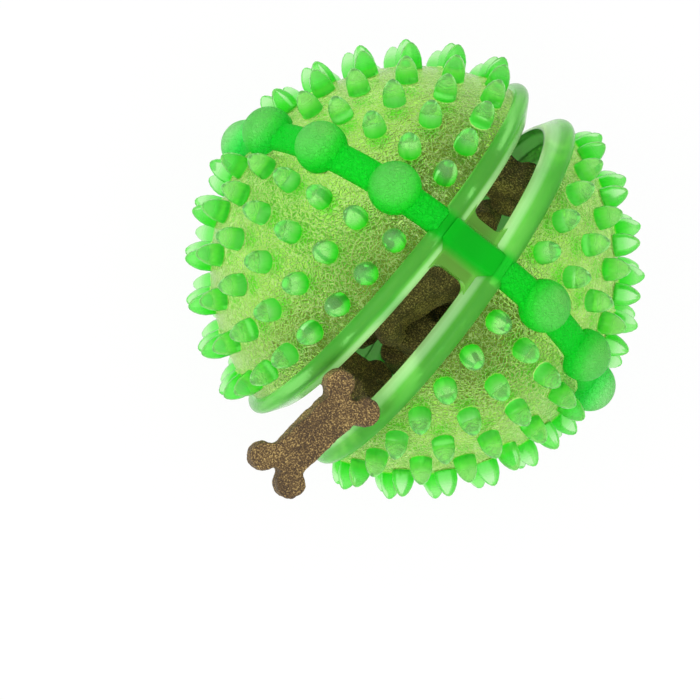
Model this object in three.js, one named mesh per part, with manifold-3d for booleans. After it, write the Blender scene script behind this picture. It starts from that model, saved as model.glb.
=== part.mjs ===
// A soft treat ball for dogs. Two hollow half domes, spiked all over, face each other across a slot
// and hang together on one web at the top and one at the bottom. A solid rib with round knobs runs
// over each half from web to web. Bone-shaped treats fill the lower part, and one is on its way out.
// Axes: X runs from pole to pole, Z up through the two webs, -Y out of the slot the treat leaves by.
import * as THREE from 'three';
import { mergeVertices } from 'three/addons/utils/BufferGeometryUtils.js';
import Module from 'manifold-3d';

// Driving dimensions, in millimetres, and angles in degrees
const clearance = 0.3;

// Half domes
const bodyRadius = 40;
const wallThickness = 3;
const openingGap = 7;
const slotSwing = 3.5; // how far the left half is swung to open the front slot

// Lips along the slot
const lipCrestRadius = bodyRadius + 1.4;
const lipCrestGap = 13.8;
const lipBeadRadius = 1.6;
const lipEdge = 0.8;

// Spikes: rows from the slot to the pole, with the number of steps from rib to rib in each
const spikeRadius = 2.3;
const spikeReach = 45.3;
const spikeRoot = 1.2;
const spikeTipRadius = 0.9;
const firstRowLatitude = 17.5;
const rowStep = 12;
const rowSteps = [15, 13, 11, 9, 7, 3];

// Ribs and knobs
const ribWidth = 6;
const ribReach = 42;
const ribSeatRadius = 38.5;
const knobRadius = 5.1;
const knobCentreRadius = 41.2;
const knobStep = 25.6;
const knobsPerRib = 6;

// Webs
const webWidth = 11.5;
const webCornerRadius = 2;
const webDepth = 2.6;
const barReach = 41.2;

// Treats
const treatLength = 25.5;
const treatWidth = 13.2;
const treatThickness = 7.5;
const lobeRadius = 3;
const shaftWidth = 7.8;

// The treat in the front slot: height of its seat, how far it leans out and how far it is turned
const seatElevation = 36;
const leanOut = 46;
const seatTurn = -10;
const topTreatTurn = 62;

// Facets round the ball, a spike and a knob
const ballFacets = 28;
const spikeFacets = 5;
const knobFacets = 10;

// Worked out from the sizes above
const innerRadius = bodyRadius - wallThickness;
const openingHalf = openingGap / 2;
// The rib's foot is sunk half way into the wall, and a low rib is still half as deep as it is wide
const ribFoot = Math.min(ribSeatRadius, bodyRadius - wallThickness / 2, ribReach - ribWidth / 2);
const beadCentre = new THREE.Vector2(lipCrestRadius - lipBeadRadius, lipCrestGap / 2);
const firstKnob = 90 - (knobStep * (knobsPerRib - 1)) / 2;
const lowRow = Math.cos(rad(firstRowLatitude)) * Math.cos(Math.PI / rowSteps[0]);
const standHeight = Math.max(
  spikeReach * lowRow + spikeTipRadius * Math.sqrt(1 - lowRow ** 2),
  knobCentreRadius * Math.cos(rad(firstKnob)) + knobRadius,
  ribReach,
);

const material = (color, roughness) => new THREE.MeshStandardMaterial({ color, roughness, metalness: 0 });
const paleRubber = material('#a9dc62', 0.45);
const deepRubber = material('#36d03c', 0.4);
const bakedTreat = material('#4f3b26', 0.9);

const wasm = await Module();
wasm.setup();

function rad(degrees) {
  return (degrees * Math.PI) / 180;
}

// Closed triangle mesh to solid: shared corners merged, slivers at the poles of a lathe dropped
function solid(geometry) {
  const bare = geometry.clone();
  bare.deleteAttribute('normal');
  bare.deleteAttribute('uv');
  const merged = mergeVertices(bare, 1e-4);
  const index = merged.index.array;
  const triangles = [];
  for (let i = 0; i < index.length; i += 3) {
    const [a, b, c] = [index[i], index[i + 1], index[i + 2]];
    if (a !== b && b !== c && c !== a) triangles.push(a, b, c);
  }
  return new wasm.Manifold(new wasm.Mesh({
    numProp: 3,
    vertProperties: new Float32Array(merged.attributes.position.array),
    triVerts: new Uint32Array(triangles),
  }));
}

function named(name, body, look) {
  const { vertProperties, triVerts } = body.getMesh();
  const geometry = new THREE.BufferGeometry();
  geometry.setAttribute('position', new THREE.BufferAttribute(new Float32Array(vertProperties), 3));
  geometry.setIndex(new THREE.BufferAttribute(new Uint32Array(triVerts), 1));
  geometry.computeVertexNormals();
  const mesh = new THREE.Mesh(geometry, look);
  mesh.name = name;
  return mesh;
}

const joined = (bodies) => bodies.reduce((sum, body) => sum.add(body));
const sphere = (radius, across) => new THREE.SphereGeometry(radius, across, across / 2);

// Points of an arc in a lathe's half plane, as (radius, height)
function arc(centre, radius, from, to, steps) {
  return Array.from({ length: steps + 1 }, (_, i) => {
    const angle = from + ((to - from) * i) / steps;
    return new THREE.Vector2(centre.x + radius * Math.cos(angle), centre.y + radius * Math.sin(angle));
  });
}

// A lathe turned so that its axis lies along +X
const turnedToX = (profile, steps) => new THREE.LatheGeometry(profile, steps).rotateZ(-Math.PI / 2);

// Where the funnel face leaves the bead: the line from the opening's rim that touches the bead
const rim = new THREE.Vector2(Math.sqrt(innerRadius ** 2 - openingHalf ** 2) + lipEdge, openingHalf);
const toBead = beadCentre.clone().sub(rim);
const funnelAngle = Math.atan2(toBead.y, toBead.x) - Math.asin(lipBeadRadius / toBead.length());
const funnelTouch = funnelAngle - Math.PI / 2;

// Half dome, pole at +X: outer skin, bead of the lip, funnel face down to the opening, inner skin
function domeShell() {
  const centre = new THREE.Vector2(0, 0);
  const beadDistance = beadCentre.length();
  const beadMeets = Math.atan2(beadCentre.y, beadCentre.x) + Math.acos(
    (beadDistance ** 2 + bodyRadius ** 2 - lipBeadRadius ** 2) / (2 * beadDistance * bodyRadius));
  const onSkin = new THREE.Vector2(bodyRadius * Math.cos(beadMeets), bodyRadius * Math.sin(beadMeets));
  const beadStart = Math.atan2(onSkin.y - beadCentre.y, onSkin.x - beadCentre.x);
  const outer = arc(centre, bodyRadius, Math.PI / 2, beadMeets, ballFacets / 4);
  const bead = arc(beadCentre, lipBeadRadius, beadStart, funnelTouch, 5).slice(1);
  const inner = arc(centre, innerRadius, Math.asin(openingHalf / innerRadius), Math.PI / 2, ballFacets / 4);
  const profile = [...outer, ...bead, rim, ...inner];
  profile[0].x = 0;
  profile[profile.length - 1].x = 0;
  return solid(turnedToX(profile.reverse(), ballFacets));
}

// One blunt spike along +Y from inside the wall to its tip
function spikeShape() {
  const height = spikeReach - bodyRadius;
  return new THREE.LatheGeometry([
    new THREE.Vector2(0, bodyRadius - spikeRoot),
    new THREE.Vector2(spikeRadius, bodyRadius - spikeRoot),
    new THREE.Vector2(spikeRadius * 0.94, bodyRadius + height * 0.45),
    new THREE.Vector2(spikeTipRadius, spikeReach),
    new THREE.Vector2(0, spikeReach),
  ], spikeFacets);
}

// Unit vector at a latitude from the slot plane and a longitude from the top web, pole at +X
function onBall(latitude, longitude) {
  const [lat, lon] = [rad(latitude), rad(longitude)];
  return new THREE.Vector3(Math.sin(lat), Math.cos(lat) * Math.sin(lon), Math.cos(lat) * Math.cos(lon));
}

function spikes() {
  const shape = spikeShape();
  const up = new THREE.Vector3(0, 1, 0);
  return rowSteps.flatMap((steps, row) => {
    const latitude = firstRowLatitude + row * rowStep;
    const longitudes = Array.from({ length: steps - 1 }, (_, i) => (180 / steps) * (i + 1));
    return longitudes.flatMap((longitude) => [longitude, -longitude].map((side) => {
      const turn = new THREE.Quaternion().setFromUnitVectors(up, onBall(latitude, side));
      return solid(shape.clone().applyQuaternion(turn));
    }));
  });
}

// Band over one half in the XZ plane, from one end angle to the other, measured from the top web
function band(from, to, inside, outside, width, bevel) {
  const [start, end] = [rad(90 - from) - bevel / outside, rad(90 - to) + bevel / outside];
  const shape = new THREE.Shape();
  shape.absarc(0, 0, outside - bevel, start, end, true);
  shape.absarc(0, 0, inside + bevel, end, start, false);
  const depth = width - 2 * bevel;
  const flat = new THREE.ExtrudeGeometry(shape, {
    depth, curveSegments: 12, bevelEnabled: bevel > 0, bevelThickness: bevel, bevelSize: bevel, bevelSegments: 1,
  });
  return flat.translate(0, 0, -depth / 2).rotateX(Math.PI / 2);
}

// Rib with its knobs, or the seat for it in the dome where everything is larger by the gap
function rib(gap) {
  const lipSide = Math.atan2(beadCentre.y + lipBeadRadius, beadCentre.x) * (180 / Math.PI);
  const clear = ((clearance - gap) / bodyRadius) * (180 / Math.PI);
  const from = lipSide + clear + 1;
  const bevel = gap > 0 ? 0 : 0.8;
  const bar = solid(band(from, 180 - from, ribFoot - gap, ribReach + gap, ribWidth + 2 * gap, bevel));
  const knobs = Array.from({ length: knobsPerRib }, (_, i) => {
    const angle = rad(firstKnob + i * knobStep);
    const place = new THREE.Vector3(Math.sin(angle), 0, Math.cos(angle)).multiplyScalar(knobCentreRadius);
    return solid(sphere(knobRadius + gap, knobFacets).translate(place.x, place.y, place.z));
  });
  return joined([bar, ...knobs]).subtract(solid(sphere(ribFoot - gap, ballFacets)));
}

// Web between the halves: fills the funnel over its depth, with a bar across the top
function web() {
  const slope = Math.tan(funnelAngle);
  const top = rim.x + webDepth;
  const swingRoom = (webWidth / 2 + webCornerRadius) * Math.sin(rad(slotSwing / 2));
  const halfAt = (radius) => openingHalf + Math.max(0, radius - rim.x) * slope - clearance - swingRoom;
  const section = [
    new THREE.Vector2(innerRadius, -halfAt(innerRadius)), new THREE.Vector2(rim.x, -halfAt(rim.x)),
    new THREE.Vector2(top, -halfAt(top)), new THREE.Vector2(top, halfAt(top)),
    new THREE.Vector2(rim.x, halfAt(rim.x)), new THREE.Vector2(innerRadius, halfAt(innerRadius)),
  ];
  const ring = solid(turnedToX([...section, section[0].clone()], ballFacets));

  const half = webWidth / 2;
  const flare = openingHalf;
  const plan = new THREE.Shape();
  plan.moveTo(-bodyRadius / 4, half + webCornerRadius);
  plan.lineTo(-flare, half + webCornerRadius);
  plan.absarc(-flare + webCornerRadius, half + webCornerRadius, webCornerRadius, Math.PI, 1.5 * Math.PI, false);
  plan.absarc(flare - webCornerRadius, half + webCornerRadius, webCornerRadius, 1.5 * Math.PI, 2 * Math.PI, false);
  plan.lineTo(bodyRadius / 4, half + webCornerRadius);
  plan.lineTo(bodyRadius / 4, -half - webCornerRadius);
  plan.lineTo(flare, -half - webCornerRadius);
  plan.absarc(flare - webCornerRadius, -half - webCornerRadius, webCornerRadius, 0, 0.5 * Math.PI, false);
  plan.absarc(-flare + webCornerRadius, -half - webCornerRadius, webCornerRadius, 0.5 * Math.PI, Math.PI, false);
  plan.lineTo(-bodyRadius / 4, -half - webCornerRadius);
  plan.closePath();
  const prism = solid(new THREE.ExtrudeGeometry(plan, { depth: bodyRadius, curveSegments: 3, bevelEnabled: false })
    .translate(0, 0, bodyRadius / 2));

  const barFoot = top - webDepth / 3;
  const barEnd = Math.asin(halfAt(barFoot) / barReach) * (180 / Math.PI);
  const bar = solid(band(-barEnd, barEnd, barFoot, barReach, ribWidth, 0));
  return ring.intersect(prism).add(bar);
}

// Bone-shaped treat lying flat: length along X, width along Y, centred
function treat() {
  const [x, y] = [treatLength / 2 - lobeRadius, treatWidth / 2 - lobeRadius];
  const shaft = Math.asin((shaftWidth / 2 - y) / lobeRadius);
  const notch = Math.asin(Math.min(1, y / lobeRadius));
  const shape = new THREE.Shape();
  shape.absarc(x, y, lobeRadius, Math.PI - shaft, -notch, true);
  shape.absarc(x, -y, lobeRadius, notch, Math.PI + shaft, true);
  shape.absarc(-x, -y, lobeRadius, -shaft, Math.PI - notch, true);
  shape.absarc(-x, y, lobeRadius, Math.PI + notch, shaft, true);
  shape.closePath();
  return solid(new THREE.ExtrudeGeometry(shape, { depth: treatThickness, curveSegments: 3, bevelEnabled: false })
    .translate(0, 0, -treatThickness / 2));
}

// Heights in the pile: a treat flat on the inner skin, or on a rib's foot where that reaches further in,
// touches its facets with its corners
const floorReach = Math.min(innerRadius, ribFoot) * Math.cos(Math.PI / ballFacets) ** 2 - clearance;
const lobeReach = Math.hypot(treatLength / 2 - lobeRadius, treatWidth / 2 - lobeRadius) + lobeRadius;
const under = Math.sqrt(floorReach ** 2 - lobeReach ** 2);
const over = under - treatThickness;
const besideStep = 2 * Math.atan2(treatWidth / 2 + clearance, over);
const endCorner = Math.hypot(treatLength / 2, over);
const endStep = Math.atan2(treatLength / 2, over) + Math.asin((treatWidth / 2 + 5 * clearance) / endCorner);
const crossBottom = -over * Math.cos(besideStep)
  + (treatLength / 2 - over * Math.sin(besideStep)) * Math.tan(besideStep) + 2 * clearance;

// A treat on the skin: tilt from straight down, towards a compass direction, with its own turn
function lying(name, tilt, towards, turn) {
  const mesh = named(name, treat(), bakedTreat);
  mesh.rotation.z = turn;
  mesh.position.z = -(under - treatThickness / 2);
  const lean = new THREE.Group();
  lean.rotation.set(0, -tilt, towards, 'ZYX');
  lean.add(mesh);
  return lean;
}

function level(name, height, along, turn) {
  const mesh = named(name, treat(), bakedTreat);
  mesh.rotation.z = turn;
  mesh.position.set(0, along, height + treatThickness / 2);
  return mesh;
}

// The treat in the front slot leans out of the mouth with its inner lobes between the two beads
function leavingTreat() {
  const share = (lipCrestRadius * Math.sin(rad(slotSwing))) / 2;
  const half = treatWidth / 2 + 2 * clearance - share;
  const inset = Math.max(0, beadCentre.y - half);
  const sunk = (treatWidth / 2 - lobeRadius) * Math.abs(Math.sin(rad(seatTurn))) * Math.sin(rad(leanOut));
  const seat = beadCentre.x + Math.sqrt(Math.max(0, lipBeadRadius ** 2 - inset ** 2)) + clearance + sunk;

  const mesh = named('treat_leaving', treat(), bakedTreat);
  mesh.position.set(treatLength / 2 - lobeRadius, 0, treatThickness / 2);
  const turned = new THREE.Group();
  turned.rotation.set(0, Math.PI / 2 - rad(leanOut), rad(seatTurn), 'YZX');
  turned.position.x = seat;
  turned.add(mesh);
  const slot = new THREE.Group();
  slot.rotation.set(0, -rad(seatElevation), -Math.PI / 2 - rad(slotSwing / 2), 'ZYX');
  slot.add(turned);
  return slot;
}

function half(side, dome) {
  const group = new THREE.Group();
  group.add(named(`${side}_dome`, dome, paleRubber), named(`${side}_rib`, rib(0), deepRubber));
  return group;
}

const dome = joined([domeShell(), ...spikes()]).subtract(rib(clearance));
const rightHalf = half('right', dome);
const leftHalf = half('left', dome);
leftHalf.rotation.z = Math.PI - rad(slotSwing);

const topWeb = named('top_web', web(), deepRubber);
const bottomWeb = named('bottom_web', web(), deepRubber);
topWeb.rotation.z = -rad(slotSwing / 2);
bottomWeb.rotation.set(Math.PI, 0, rad(slotSwing / 2));

// The heap in the middle has slid up the right half by one treat's breadth, so its left treat is at the bottom
const heap = new THREE.Group();
heap.rotation.y = -besideStep;
heap.add(
  lying('treat_bottom', besideStep, Math.PI, Math.PI / 2),
  lying('treat_right', 0, 0, Math.PI / 2),
  lying('treat_right_upper', besideStep, 0, Math.PI / 2),
  level('treat_cross_front', crossBottom, -(treatWidth + clearance) / 2, 0),
  level('treat_cross_rear', crossBottom, (treatWidth + clearance) / 2, 0),
  level('treat_top', crossBottom + treatThickness + clearance, 0, rad(topTreatTurn)),
);
const pile = new THREE.Group();
pile.add(
  heap,
  lying('treat_front', endStep, -Math.PI / 2, Math.PI / 2),
  lying('treat_rear', endStep, Math.PI / 2, Math.PI / 2),
  lying('treat_rear_upper', endStep + besideStep, Math.PI / 2, Math.PI / 2),
);

const ball = new THREE.Group();
ball.position.z = standHeight;
ball.add(rightHalf, leftHalf, topWeb, bottomWeb, pile, leavingTreat());

export default ball;
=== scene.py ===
import math
import bmesh
import bpy
import numpy as np
from mathutils import Matrix, Vector, noise


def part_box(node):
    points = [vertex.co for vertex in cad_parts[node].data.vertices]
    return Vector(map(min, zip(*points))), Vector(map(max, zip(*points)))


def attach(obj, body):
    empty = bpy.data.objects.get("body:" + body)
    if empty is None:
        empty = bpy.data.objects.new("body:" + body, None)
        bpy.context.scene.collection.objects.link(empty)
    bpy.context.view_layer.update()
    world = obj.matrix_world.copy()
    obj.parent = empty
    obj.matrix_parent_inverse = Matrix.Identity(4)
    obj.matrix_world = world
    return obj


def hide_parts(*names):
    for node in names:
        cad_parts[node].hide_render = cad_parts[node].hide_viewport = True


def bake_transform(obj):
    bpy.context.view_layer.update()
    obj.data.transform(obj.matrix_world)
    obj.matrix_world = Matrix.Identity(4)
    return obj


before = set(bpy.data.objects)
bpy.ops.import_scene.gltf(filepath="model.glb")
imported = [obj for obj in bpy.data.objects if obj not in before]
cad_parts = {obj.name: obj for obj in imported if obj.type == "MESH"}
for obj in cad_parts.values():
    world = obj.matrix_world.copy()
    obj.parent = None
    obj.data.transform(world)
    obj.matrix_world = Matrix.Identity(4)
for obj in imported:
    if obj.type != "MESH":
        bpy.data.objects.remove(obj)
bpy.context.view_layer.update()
mm = 0.001
ballCentre = Vector((0, 0, 42.5835)) * mm  # height of the ball's centre over the floor
slotSwing = math.radians(3.5)  # how far the left half stands open at the front
halfTurn = {"right": 0.0, "left": math.pi - slotSwing}


# helpers for meshes

def sharpen(piece, sharpAngle=40):
    piece.data.polygons.foreach_set("use_smooth", [True] * len(piece.data.polygons))
    piece.data.set_sharp_from_angle(angle=math.radians(sharpAngle))


def finishMesh(name, bm, sharpAngle=40):
    mesh = bpy.data.meshes.new(name)
    bm.to_mesh(mesh)
    bm.free()
    piece = bpy.data.objects.new(name, mesh)
    sharpen(piece, sharpAngle)
    bpy.context.scene.collection.objects.link(piece)
    return piece


def vertsOf(geom):
    return [item for item in geom if isinstance(item, bmesh.types.BMVert)]


def combine(base, tool, operation):
    cut = base.modifiers.new("cut", "BOOLEAN")
    cut.object, cut.operation, cut.solver = tool, operation, "MANIFOLD"
    done = bpy.data.meshes.new_from_object(base.evaluated_get(bpy.context.evaluated_depsgraph_get()))
    base.modifiers.clear()
    base.data = done
    bpy.data.objects.remove(tool)


def arcOn(bm, vert, centre, angle, steps):
    # profiles lie in the XZ plane, so an arc is a vertex spun round Y
    made = bmesh.ops.spin(bm, geom=[vert], cent=centre, axis=(0, 1, 0), angle=angle, steps=steps)
    return vertsOf(made["geom_last"])[0]


def lineOn(bm, vert, place):
    made = bmesh.ops.extrude_vert_indiv(bm, verts=[vert])
    made["verts"][0].co = place
    return made["verts"][0]


def turnRound(bm, axis, steps):
    bmesh.ops.spin(bm, geom=bm.verts[:] + bm.edges[:], cent=(0, 0, 0), axis=axis, angle=math.tau,
                   steps=steps, use_merge=True)
    bmesh.ops.remove_doubles(bm, verts=bm.verts, dist=1e-4)
    bmesh.ops.recalc_face_normals(bm, faces=bm.faces)


# half dome with its lip: bead outside, funnel face down to the opening
dome = dict(radius=40, wall=3, opening=7, crestRadius=41.4, crestGap=13.8, bead=1.6, edge=0.8, lipEnd=8.8,
            skinSteps=40, beadSteps=10, around=180)

innerRadius = dome["radius"] - dome["wall"]
openingHalf = dome["opening"] / 2
beadCentre = Vector((dome["crestGap"] / 2, 0, dome["crestRadius"] - dome["bead"]))
rim = Vector((openingHalf, 0, math.sqrt(innerRadius ** 2 - openingHalf ** 2) + dome["edge"]))
toBead = beadCentre - rim
funnelAngle = math.atan2(toBead.x, toBead.z) - math.asin(dome["bead"] / toBead.length)


def domeShell(name):
    bm = bmesh.new()
    reach = beadCentre.length
    bend = math.acos((reach ** 2 + dome["radius"] ** 2 - dome["bead"] ** 2) / (2 * reach * dome["radius"]))
    skinEnd = math.atan2(beadCentre.x, beadCentre.z) + bend  # latitude where the bead meets the skin
    onSkin = Vector((math.sin(skinEnd), 0, math.cos(skinEnd))) * dome["radius"]
    beadStart = math.atan2(onSkin.x - beadCentre.x, onSkin.z - beadCentre.z)
    pole = bm.verts.new((dome["radius"], 0, 0))
    end = arcOn(bm, pole, (0, 0, 0), -(math.pi / 2 - skinEnd), dome["skinSteps"])
    end = arcOn(bm, end, beadCentre, -(beadStart - funnelAngle + math.pi / 2), dome["beadSteps"])
    end = lineOn(bm, end, rim)
    end = lineOn(bm, end, (openingHalf, 0, rim.z - dome["edge"]))
    arcOn(bm, end, (0, 0, 0), math.pi / 2 - math.asin(openingHalf / innerRadius), dome["skinSteps"])
    turnRound(bm, (1, 0, 0), dome["around"])
    return finishMesh(name, bm)


# blunt spikes, in rows from the slot to the pole, with the steps from rib to rib in each row
# profile: share of the radius, share of the height over the skin
spike = dict(radius=2.3, root=38.8, reach=45.3, firstRow=17.5, rowStep=12, steps=[15, 13, 11, 9, 7, 3],
             sides=12, thickEdge=1,
             profile=[(1, 0), (0.95, 0.4), (0.8, 0.62), (0.54, 0.83), (0.25, 0.96), (0, 1)])


def spikeAxes():
    for row, steps in enumerate(spike["steps"]):
        lat = math.radians(spike["firstRow"] + row * spike["rowStep"])
        for step in range(1, steps):
            for side in (1, -1):
                lon = side * math.pi * step / steps
                yield Vector((math.sin(lat), math.cos(lat) * math.sin(lon), math.cos(lat) * math.cos(lon)))


def spikeField(name):
    bm = bmesh.new()
    rise = spike["reach"] - dome["radius"]
    vert = lineOn(bm, bm.verts.new((0, 0, spike["root"])), (spike["radius"], 0, spike["root"]))
    for share, height in spike["profile"]:
        vert = lineOn(bm, vert, (share * spike["radius"], 0, dome["radius"] + height * rise))
    turnRound(bm, (0, 0, 1), spike["sides"])
    model = bm.verts[:] + bm.edges[:] + bm.faces[:]
    for out in spikeAxes():
        copy = bmesh.ops.duplicate(bm, geom=model)["geom"]
        turn = out.to_track_quat("Z", "Y").to_matrix()
        bmesh.ops.rotate(bm, verts=vertsOf(copy), cent=(0, 0, 0), matrix=turn)
    bmesh.ops.delete(bm, geom=vertsOf(model), context="VERTS")
    return finishMesh(name, bm)


def markThick(shell):
    # the rubber is thick behind each spike, and the attribute tells the material where, with a soft edge
    axes = np.array(list(spikeAxes()))
    spots = np.array([v.co.normalized() for v in shell.data.vertices])
    away = np.arccos(np.clip((spots @ axes.T).max(axis=1), -1, 1)) * innerRadius
    share = np.clip((spike["radius"] - away) / spike["thickEdge"] + 0.5, 0, 1)
    shell.data.attributes.new("thick", "FLOAT", "POINT").data.foreach_set("value", share)


# rib over one half in the XZ plane, with round knobs
rib = dict(width=6, reach=42, seat=38.5, spare=0.5, grooveGap=0.08, corner=1.9, start=10.6, steps=110,
           knobRadius=5.1, knobCentre=41.2, knobStep=25.6, knobs=6, knobSides=40, seatSides=160)


def ribBody(name, gap):
    bm = bmesh.new()
    half, top = rib["width"] / 2 + gap, rib["reach"] + gap
    foot = rib["seat"] - gap - rib["spare"]  # the seat's sphere trims what is spare
    start = math.radians(rib["start"]) - gap / dome["radius"]
    corners = [bm.verts.new((0, y, z)) for y, z in ((-half, foot), (half, foot), (half, top), (-half, top))]
    bm.faces.new(corners)
    bmesh.ops.bevel(bm, geom=[v for v in corners if v.co.z > dome["radius"]], offset=rib["corner"] + gap,
                    offset_type="OFFSET", affect="VERTICES", segments=5, profile=0.5, material=-1)
    bmesh.ops.rotate(bm, verts=bm.verts, cent=(0, 0, 0), matrix=Matrix.Rotation(start, 3, "Y"))
    bmesh.ops.delete(bm, geom=bm.faces[:], context="FACES_ONLY")
    bmesh.ops.spin(bm, geom=bm.verts[:] + bm.edges[:], cent=(0, 0, 0), axis=(0, 1, 0),
                   angle=math.pi - 2 * start, steps=rib["steps"])
    bmesh.ops.holes_fill(bm, edges=[e for e in bm.edges if e.is_boundary])
    bmesh.ops.recalc_face_normals(bm, faces=bm.faces)
    bar = finishMesh(name, bm)

    bm = bmesh.new()
    for count in range(rib["knobs"]):
        angle = math.radians(90 + (count - (rib["knobs"] - 1) / 2) * rib["knobStep"])
        place = Vector((math.sin(angle), 0, math.cos(angle))) * rib["knobCentre"]
        bmesh.ops.create_uvsphere(bm, u_segments=rib["knobSides"], v_segments=rib["knobSides"] // 2,
                                  radius=rib["knobRadius"] + gap, matrix=Matrix.Translation(place))
    combine(bar, finishMesh("knobs", bm), "UNION")
    bm = bmesh.new()
    bmesh.ops.create_uvsphere(bm, u_segments=rib["seatSides"], v_segments=rib["seatSides"] // 2,
                              radius=rib["seat"] - gap)
    combine(bar, finishMesh("seat", bm), "DIFFERENCE")
    sharpen(bar)
    return bar


# web between the lips at the top or the bottom, a twisting strip with a bar across it
web = dict(width=11.5, corner=2, flange=0.8, barWidth=6, shoulder=1.6, barRise=3.6, gap=0.06,
           across=28, along=44, twistHalf=4.2, twistHeight=39)


def webStrip(name, up):
    bm = bmesh.new()
    bmesh.ops.create_grid(bm, x_segments=web["across"], y_segments=web["along"], size=1)
    inner = list(bm.verts)
    skirt = bmesh.ops.extrude_face_region(bm, geom=bm.faces[:])
    slope = math.tan(funnelAngle)
    for layer, verts in (("outer", vertsOf(skirt["geom"])), ("inner", inner)):
        for vert in verts:
            u, v = vert.co.x, vert.co.y
            flare = max(0, abs(u) * openingHalf - openingHalf + web["corner"]) / web["corner"]
            halfWidth = web["width"] / 2 + web["corner"] * (1 - math.sqrt(max(0, 1 - flare ** 2)))
            y = v * halfWidth
            slack = min(1, max(0, (abs(y) - web["barWidth"] / 2 + web["shoulder"] / 2) / web["shoulder"]))
            bar = (web["barRise"] - web["flange"]) * (1 + math.cos(math.pi * slack)) / 2
            radius = rim.z - dome["edge"] if layer == "inner" else rim.z + web["flange"] + bar
            x = u * (openingHalf + max(0, radius - rim.z) * slope - web["gap"])
            swing = -slotSwing * (1 - u) / 2
            vert.co = Matrix.Rotation(swing, 3, "Z") @ Vector((x, y, up * math.sqrt(radius ** 2 - y ** 2)))
    bmesh.ops.scale(bm, verts=bm.verts, vec=(mm, mm, mm))
    bmesh.ops.translate(bm, verts=bm.verts, vec=ballCentre)
    bmesh.ops.recalc_face_normals(bm, faces=bm.faces)
    return finishMesh(name, bm, sharpAngle=50)


# bone-shaped treats, cut from a baked sheet
# lumps and crumbs are sunk by their middle, so that a bone stays within its solid
treat = dict(length=25.5, width=13.2, thickness=7.5, lobe=3, lobeSteps=14, shaft=7.8, edge=0.9, voxel=0.42,
             lump=0.35, lumpSize=3.2, lumpMiddle=0.6, crumb=0.16, crumbSize=0.8, crumbMiddle=0.5,
             seedStep=(17.3, 5.1, 9.7))


def boneBlank():
    bm = bmesh.new()
    lobe = treat["lobe"]
    x, y = treat["length"] / 2 - lobe, treat["width"] / 2 - lobe
    waist = math.asin((treat["shaft"] / 2 - y) / lobe)
    notch = math.asin(min(1, y / lobe))
    ends = []
    for cx, cy, start, stop in ((x, y, math.pi - waist, -notch), (x, -y, notch, -math.pi + waist),
                                (-x, -y, -waist, -math.pi - notch), (-x, y, math.pi + notch, waist)):
        first = bm.verts.new((cx + lobe * math.cos(start), cy + lobe * math.sin(start), 0))
        made = bmesh.ops.spin(bm, geom=[first], cent=(cx, cy, 0), axis=(0, 0, 1), angle=stop - start,
                              steps=treat["lobeSteps"])
        ends.append((first, vertsOf(made["geom_last"])[0]))
    for (first, last), (following, end) in zip(ends, ends[1:] + ends[:1]):
        bm.edges.new((last, following))
    bmesh.ops.remove_doubles(bm, verts=bm.verts, dist=1e-5)
    bmesh.ops.edgeloop_fill(bm, edges=bm.edges)
    bmesh.ops.translate(bm, verts=bm.verts, vec=(0, 0, -treat["thickness"] / 2))
    top = bmesh.ops.extrude_face_region(bm, geom=bm.faces[:])
    bmesh.ops.translate(bm, verts=vertsOf(top["geom"]), vec=(0, 0, treat["thickness"]))
    bmesh.ops.recalc_face_normals(bm, faces=bm.faces)
    edges = [e for e in bm.edges if abs(e.verts[0].co.z - e.verts[1].co.z) < 1e-6]
    bmesh.ops.bevel(bm, geom=edges, offset=treat["edge"], offset_type="OFFSET", affect="EDGES", segments=3,
                    profile=0.5, material=-1, clamp_overlap=True)
    blank = finishMesh("blank", bm)
    remesh = blank.modifiers.new("even", "REMESH")
    remesh.mode, remesh.voxel_size = "VOXEL", treat["voxel"]
    done = bpy.data.meshes.new_from_object(blank.evaluated_get(bpy.context.evaluated_depsgraph_get()))
    bpy.data.objects.remove(blank)
    return done


def nodeFrame(node):
    # a bone is even about its middle, so its three axes are those of its corners' spread
    points = np.array([v.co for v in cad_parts[node].data.vertices])
    low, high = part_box(node)
    axes = np.linalg.eigh(np.cov((points - points.mean(axis=0)).T))[1]
    long, wide = Vector(axes[:, 2]), Vector(axes[:, 1])
    turn = Matrix((long, wide, long.cross(wide))).transposed().to_4x4()
    return Matrix.Translation((low + high) / 2) @ turn


def bakedBone(name, node, blank, seed):
    bm = bmesh.new()
    bm.from_mesh(blank)
    bm.normal_update()
    shift = Vector(treat["seedStep"]) * seed
    for vert in bm.verts:
        lump = noise.noise(vert.co / treat["lumpSize"] + shift) - treat["lumpMiddle"]
        crumb = noise.noise(vert.co / treat["crumbSize"] + shift) - treat["crumbMiddle"]
        vert.co += vert.normal * (treat["lump"] * lump + treat["crumb"] * crumb)
    bmesh.ops.scale(bm, verts=bm.verts, vec=(mm, mm, mm))
    bmesh.ops.transform(bm, matrix=nodeFrame(node), verts=bm.verts)
    return finishMesh(name, bm, sharpAngle=180)


# helpers for materials

def linear(hexColour):
    parts = [int(hexColour[i:i + 2], 16) / 255 for i in (1, 3, 5)]
    return [c / 12.92 if c <= 0.04045 else ((c + 0.055) / 1.055) ** 2.4 for c in parts] + [1]


def add(tree, kind, inputs=None, **settings):
    # a node that is given as an input stands for its first output
    made = tree.nodes.new(kind)
    for key, value in settings.items():
        setattr(made, key, value)
    for key, value in (inputs or {}).items():
        if isinstance(value, bpy.types.Node):
            value = value.outputs[0]
        if isinstance(value, bpy.types.NodeSocket):
            tree.links.new(value, made.inputs[key])
        else:
            made.inputs[key].default_value = value
    return made


def newMaterial(name):
    material = bpy.data.materials.new(name)
    material.use_nodes = True
    material.node_tree.nodes.clear()
    return material, material.node_tree


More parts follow.
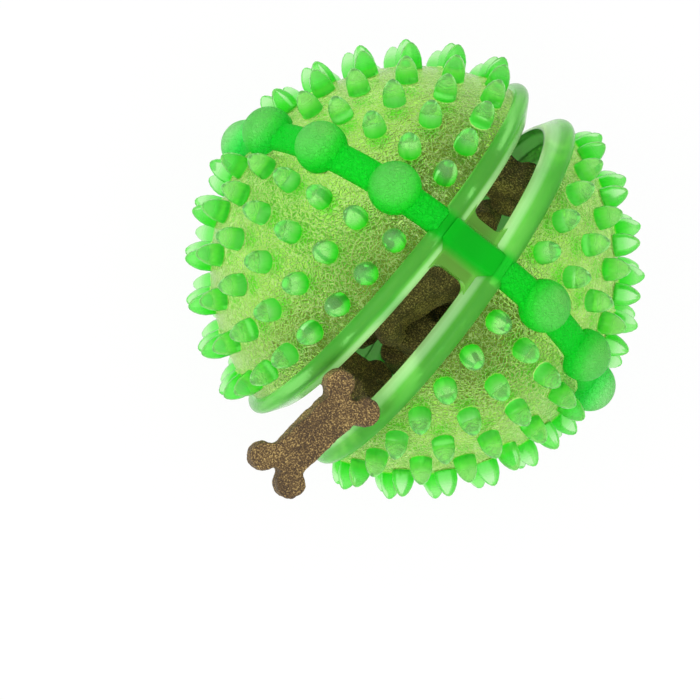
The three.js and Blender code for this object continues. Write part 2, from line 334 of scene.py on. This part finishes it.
# clear thermoplastic rubber, moulded against a leather-grained tool: the eye sees through it, it is hazy at
# its surface and greener where it is thick, and the grain breaks up what lies behind
# sizes in mm, each fade from its start to its end, with those of creases and lines in shares of a grain cell
rubber = dict(ior=1.15, absorb="#bcee00", density=15,
              grain=0.85, grainDepth=0.18, grainFade=(0.06, 0.2), creaseFade=(0.0, 0.25),
              wander=1.6, waves=0.9,  # how far a crease wanders, and how often in each mm
              # paler colour along the creases: partly haze, partly painted highlight for the grain's glints
              line="#d4ff90", lineHaze=0.2, lineFade=(0.02, 0.13),
              # the first four are the painted shade inside the ball: its dark green, its share of clear
              # rubber, and where across the slot it is centred and fades out
              film="#2f9220", filmClear=0.4, filmMiddle=5, filmFade=(10, 21), innerFade=(0.1, 0.3),
              bar="#06b41a", barClear=0.25, barFade=(2.2, 4),
              thick="#30f022", seatClear=0.45, seatFade=1)
# layers: distance from the ball's centre in mm, colour, share of clear rubber
rubberFinish = dict(
    skin=dict(grain=1.0, roughness=0.14, layers=[
        (37.05, "#c8f898", 0.9), (37.4, "#c0ff60", 0.84), (40.05, "#c0ff60", 0.84), (40.4, "#30e426", 0.55),
        (42.2, "#5cec4c", 0.62), (43.8, "#98f488", 0.72), (45.3, "#98f488", 0.67)]),
    lip=dict(grain=0.1, roughness=0.14, layers=[
        # the lip's innermost layers, at its edge inside the slot, are painted shade in the same dark green
        (36.8, "#2f9220", 0.4), (37.05, "#2f9220", 0.4), (37.5, "#c0f49c", 0.6), (38.8, "#c0ffb0", 0.45),
        (39.8, "#b0f8a0", 0.45), (40.7, "#6cd850", 0.5), (41.5, "#60cc48", 0.5)]),
    web=dict(grain=0.1, roughness=0.14, layers=[
        # the web's innermost layer, on its face towards the inside of the ball, is painted shade in the same
        # dark green
        (36.4, "#2f9220", 0.4), (37.4, "#6cb83c", 0.5), (38.4, "#84d054", 0.6), (40.8, "#30c034", 0.3)]),
    rib=dict(grain=1.0, roughness=0.4, layers=[
        (38.4, "#0cd024", 0.45), (42.0, "#10e02e", 0.45), (43.6, "#3cf048", 0.6), (46.3, "#98fc90", 0.74)]))


def rubberLayers(tree, radius, layers):
    # colour, and share of clear rubber, by the distance from the ball's centre
    low, high = layers[0][0], layers[-1][0]
    depth = add(tree, "ShaderNodeMapRange", {0: radius, 1: low * mm, 2: high * mm})
    strata = add(tree, "ShaderNodeValToRGB", {"Fac": depth})
    stops = strata.color_ramp.elements
    for reach, shade, clear in layers[1:-1]:
        stops.new((reach - low) / (high - low))
    for stop, (reach, shade, clear) in zip(stops, layers):
        stop.color = linear(shade)[:3] + [clear]
    return strata.outputs["Color"], strata.outputs["Alpha"]


def leatherCreases(tree, place):
    # wandering creases about a millimetre apart
    wobble = add(tree, "ShaderNodeTexNoise", {"Vector": place, "Scale": rubber["waves"] / mm, "Detail": 1.0})
    bent = add(tree, "ShaderNodeMixRGB", {"Fac": rubber["wander"] * mm, 1: place, 2: wobble.outputs["Color"]},
               blend_type="ADD")
    return add(tree, "ShaderNodeTexVoronoi", {"Vector": bent, "Scale": 1 / mm / rubber["grain"]},
               feature="DISTANCE_TO_EDGE").outputs["Distance"]


def clearRubber(kind):
    material, tree = newMaterial(kind + "Rubber")
    finish = rubberFinish[kind]
    place = add(tree, "ShaderNodeTexCoord").outputs["Object"]
    spoke = add(tree, "ShaderNodeVectorMath", {0: place, 1: ballCentre}, operation="SUBTRACT")
    radius = add(tree, "ShaderNodeVectorMath", {0: spoke}, operation="LENGTH").outputs["Value"]
    across = add(tree, "ShaderNodeSeparateXYZ", {0: spoke}).outputs
    colour, clear = rubberLayers(tree, radius, finish["layers"])
    passing, passingClear = (1, 1, 1, 1), 1.0  # for light that leaves the rubber
    crease = leatherCreases(tree, place)
    start, end = rubber["creaseFade"]
    height = add(tree, "ShaderNodeMapRange", {0: crease, 1: start, 2: end, 3: 0.0, 4: 1.0})
    grain = finish["grain"]

    if kind == "skin":
        # the grain is on the outer skin only; along its creases the rubber is a little hazy and paler, partly
        # real haze and partly painted highlight for the glints on the grain's relief
        off = add(tree, "ShaderNodeMath", {0: radius, 1: dome["radius"] * mm}, operation="SUBTRACT")
        off = add(tree, "ShaderNodeMath", {0: off}, operation="ABSOLUTE")
        start, end = rubber["grainFade"]
        grain = add(tree, "ShaderNodeMapRange", {0: off, 1: start * mm, 2: end * mm, 3: grain, 4: 0.0})
        start, end = rubber["lineFade"]
        line = add(tree, "ShaderNodeMapRange", {0: crease, 1: start, 2: end, 3: 1.0, 4: 0.0})
        line = add(tree, "ShaderNodeMath", {0: line, 1: grain}, operation="MULTIPLY")
        colour = add(tree, "ShaderNodeMixRGB", {"Fac": line, 1: colour, 2: linear(rubber["line"])})
        clear = add(tree, "ShaderNodeMath", {0: line, 1: -rubber["lineHaze"], 2: clear},
                    operation="MULTIPLY_ADD")

        # painted shade: the inner skin is darker green and less clear along the slot and further up the right
        # half, where the treats lie and the inside of the ball is in shade
        beside = add(tree, "ShaderNodeMath", {0: across["X"], 1: rubber["filmMiddle"] * mm},
                     operation="SUBTRACT")
        beside = add(tree, "ShaderNodeMath", {0: beside}, operation="ABSOLUTE")
        start, end = rubber["filmFade"]
        film = add(tree, "ShaderNodeMapRange", {0: beside, 1: start * mm, 2: end * mm, 3: 1.0, 4: 0.0})
        start, end = rubber["innerFade"]
        innerSkin = {0: radius, 1: (innerRadius + start) * mm, 2: (innerRadius + end) * mm, 4: 0.0}
        film = add(tree, "ShaderNodeMapRange", {**innerSkin, 3: film})
        colour = add(tree, "ShaderNodeMixRGB", {"Fac": film, 1: colour, 2: linear(rubber["film"])})
        clear = add(tree, "ShaderNodeMapRange", {0: film, 3: clear, 4: rubber["filmClear"]})

        # light that has come down a spike leaves the inner skin green
        thick = add(tree, "ShaderNodeAttribute", attribute_name="thick").outputs["Fac"]
        thick = add(tree, "ShaderNodeMapRange", {**innerSkin, 3: thick})
        passing = add(tree, "ShaderNodeMixRGB", {"Fac": thick, 1: passing, 2: linear(rubber["thick"])})

    if kind == "rib":
        # a rib is thick down to its seat, so light that goes right through it is tinted and scattered
        seat, end = rib["seat"] * mm, (rib["seat"] + rubber["seatFade"]) * mm
        deep = add(tree, "ShaderNodeMapRange", {0: radius, 1: seat, 2: end, 3: 1.0, 4: 0.0})
        passing = add(tree, "ShaderNodeMixRGB", {"Fac": deep, 1: passing, 2: linear(rubber["thick"])})
        passingClear = add(tree, "ShaderNodeMapRange", {0: deep, 3: 1.0, 4: rubber["seatClear"]})

    if kind in ("lip", "web"):
        # the bar that runs from rib to rib across the lips and the web
        off = add(tree, "ShaderNodeMath", {0: across["Y"]}, operation="ABSOLUTE")
        start, end = rubber["barFade"]
        bar = add(tree, "ShaderNodeMapRange", {0: off, 1: start * mm, 2: end * mm, 3: 1.0, 4: 0.0})
        colour = add(tree, "ShaderNodeMixRGB", {"Fac": bar, 1: colour, 2: linear(rubber["bar"])})
        clear = add(tree, "ShaderNodeMapRange", {0: bar, 3: clear, 4: rubber["barClear"]})

    # the haze is in the skin, so light that leaves the rubber passes freely where it isn't thick
    leaving = add(tree, "ShaderNodeNewGeometry").outputs["Backfacing"]
    colour = add(tree, "ShaderNodeMixRGB", {"Fac": leaving, 1: colour, 2: passing})
    clear = add(tree, "ShaderNodeMapRange", {0: leaving, 3: clear, 4: passingClear})
    bump = add(tree, "ShaderNodeBump", {"Strength": grain, "Distance": rubber["grainDepth"] * mm,
                                        "Height": height})
    surface = add(tree, "ShaderNodeBsdfPrincipled", {
        "Base Color": colour, "Roughness": finish["roughness"], "IOR": rubber["ior"],
        "Transmission Weight": clear, "Normal": bump})
    depths = add(tree, "ShaderNodeVolumeAbsorption", {"Color": linear(rubber["absorb"]),
                                                      "Density": rubber["density"]})
    add(tree, "ShaderNodeOutputMaterial", {"Surface": surface, "Volume": depths})
    return material


# baked dough with meat meal: dark and dry, with tan crumbs and scorched patches, which give the eye a coarse
# speckle; sizes in mm
crumbLook = dict(shades=[(0.38, "#3a2a14"), (0.53, "#664e28"), (0.68, "#c0a462")], fleck=0.3, scorch=6,
                 scorchShare=0.25, scorchShift=-0.13, roughness=0.75, relief=0.3, reliefShare=0.7)


def bakedCrumb():
    material, tree = newMaterial("bakedCrumb")
    place = add(tree, "ShaderNodeTexCoord").outputs["Object"]
    fleck = add(tree, "ShaderNodeTexNoise", {"Vector": place, "Scale": 1 / mm / crumbLook["fleck"],
                                             "Detail": 3.0, "Roughness": 0.6})
    patch = add(tree, "ShaderNodeTexNoise", {"Vector": place, "Scale": 1 / mm / crumbLook["scorch"],
                                             "Detail": 1.0})
    shift = add(tree, "ShaderNodeMath", {0: patch, 1: crumbLook["scorchShare"], 2: crumbLook["scorchShift"]},
                operation="MULTIPLY_ADD")
    level = add(tree, "ShaderNodeMath", {0: fleck, 1: shift}, operation="ADD")
    colour = add(tree, "ShaderNodeValToRGB", {"Fac": level})
    stops = colour.color_ramp.elements
    stops.new(0.5)
    for stop, (position, shade) in zip(stops, crumbLook["shades"]):
        stop.position, stop.color = position, linear(shade)
    bump = add(tree, "ShaderNodeBump", {"Strength": crumbLook["reliefShare"],
                                        "Distance": crumbLook["relief"] * mm, "Height": fleck})
    surface = add(tree, "ShaderNodeBsdfPrincipled", {
        "Base Color": colour, "Roughness": crumbLook["roughness"], "Normal": bump})
    add(tree, "ShaderNodeOutputMaterial", {"Surface": surface})
    return material


rubbers = {kind: clearRubber(kind) for kind in rubberFinish}
crumb = bakedCrumb()
print("materials made")


def settle(piece, materials, body, node):
    piece.data.materials.clear()
    for material in materials:
        piece.data.materials.append(material)
    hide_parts(node)
    if body:
        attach(piece, body)


def placeHalf(piece, side):
    piece.data.transform(Matrix.Translation(ballCentre) @ Matrix.Rotation(halfTurn[side], 4, "Z")
                         @ Matrix.Scale(mm, 4))


for side in ("right", "left"):
    shell = domeShell(side + "Dome")
    combine(shell, spikeField("spikes"), "UNION")
    combine(shell, ribBody("groove", rib["grooveGap"]), "DIFFERENCE")
    sharpen(shell)
    markThick(shell)
    onLip = [face.center.x < dome["lipEnd"] for face in shell.data.polygons]
    placeHalf(shell, side)
    settle(shell, (rubbers["skin"], rubbers["lip"]), side + "_half", side + "_dome")
    shell.data.polygons.foreach_set("material_index", onLip)  # settle clears the indices
    strap = ribBody(side + "Rib", 0)
    placeHalf(strap, side)
    settle(strap, (rubbers["rib"],), side + "_half", side + "_rib")
    print(side, "half made:", len(shell.data.polygons), "faces")

for name, up, node in (("topWeb", 1, "top_web"), ("bottomWeb", -1, "bottom_web")):
    strip = webStrip(name, up)
    settle(strip, (rubbers["web"],), None, node)
    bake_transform(strip)
print("webs made")

blank = boneBlank()
bones = [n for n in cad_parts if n.startswith("treat_")]
for seed, node in enumerate(bones):
    first, *words = node.split("_")
    bone = bakedBone(first + "".join(word.title() for word in words), node, blank, seed)
    settle(bone, (crumb,), "leaving_treat" if node == "treat_leaving" else "right_half", node)
print(len(bones), "treats made:", len(blank.polygons), "faces each")

# floor, light and camera; lamps: place, size and power
studio = dict(floorHalf=3, paper="#fafafa", whiteShare=0.92,
              lamps=dict(key=((-0.45, -0.45, 0.6), 0.6, 2.4), fill=((0.45, -0.5, 0.5), 0.5, 0.8)))


def whitePaper():
    # matt paper that keeps a soft shadow, and is white to rays that carry the picture: seen straight, in a
    # gloss or through the rubber
    material, tree = newMaterial("whitePaper")
    path = add(tree, "ShaderNodeLightPath").outputs
    seen = add(tree, "ShaderNodeMath", {0: path["Is Camera Ray"], 1: path["Is Glossy Ray"]},
               operation="MAXIMUM")
    seen = add(tree, "ShaderNodeMath", {0: seen, 1: path["Is Transmission Ray"]}, operation="MAXIMUM")
    share = add(tree, "ShaderNodeMath", {0: seen, 1: studio["whiteShare"]}, operation="MULTIPLY")
    paper = add(tree, "ShaderNodeBsdfDiffuse", {"Color": linear(studio["paper"])})
    white = add(tree, "ShaderNodeEmission", {"Color": (1, 1, 1, 1), "Strength": 1.0})
    mix = add(tree, "ShaderNodeMixShader", {0: share, 1: paper, 2: white})
    add(tree, "ShaderNodeOutputMaterial", {"Surface": mix})
    return material


bm = bmesh.new()
bmesh.ops.create_grid(bm, x_segments=1, y_segments=1, size=studio["floorHalf"])
floor = finishMesh("floor", bm)
floor.data.materials.append(whitePaper())

world = bpy.data.worlds.new("studio")
bpy.context.scene.world = world
world.use_nodes = True
world.node_tree.nodes.clear()
light = add(world.node_tree, "ShaderNodeBackground", {"Color": (1, 1, 1, 1), "Strength": 1.0})
add(world.node_tree, "ShaderNodeOutputWorld", {"Surface": light})

for name, (place, size, power) in studio["lamps"].items():
    lamp = bpy.data.lights.new(name, "AREA")
    lamp.size, lamp.energy = size, power
    holder = bpy.data.objects.new(name, lamp)
    holder.location = place
    holder.rotation_euler = (ballCentre - Vector(place)).to_track_quat("-Z", "Y").to_euler()
    bpy.context.scene.collection.objects.link(holder)

# focal length and picture in pixels, sensor and place in mm
view = dict(focal=4000, picture=700, sensor=36, place=(-128.3, -189.94, 794.0),
            across=(0.7963, 0.5473, 0.2576), ahead=(0.1623, 0.2169, -0.9626))
lens = bpy.data.cameras.new("camera")
lens.sensor_width, lens.lens = view["sensor"], view["sensor"] * view["focal"] / view["picture"]
camera = bpy.data.objects.new("camera", lens)
across, ahead = Vector(view["across"]), Vector(view["ahead"])
across = (across - ahead * across.dot(ahead)).normalized()
camera.matrix_world = (Matrix.Translation(Vector(view["place"]) * mm)
                       @ Matrix((across, across.cross(ahead), -ahead)).transposed().to_4x4())
bpy.context.scene.collection.objects.link(camera)
bpy.context.scene.camera = camera
bpy.context.scene.view_settings.view_transform = "Standard"
print("studio made")
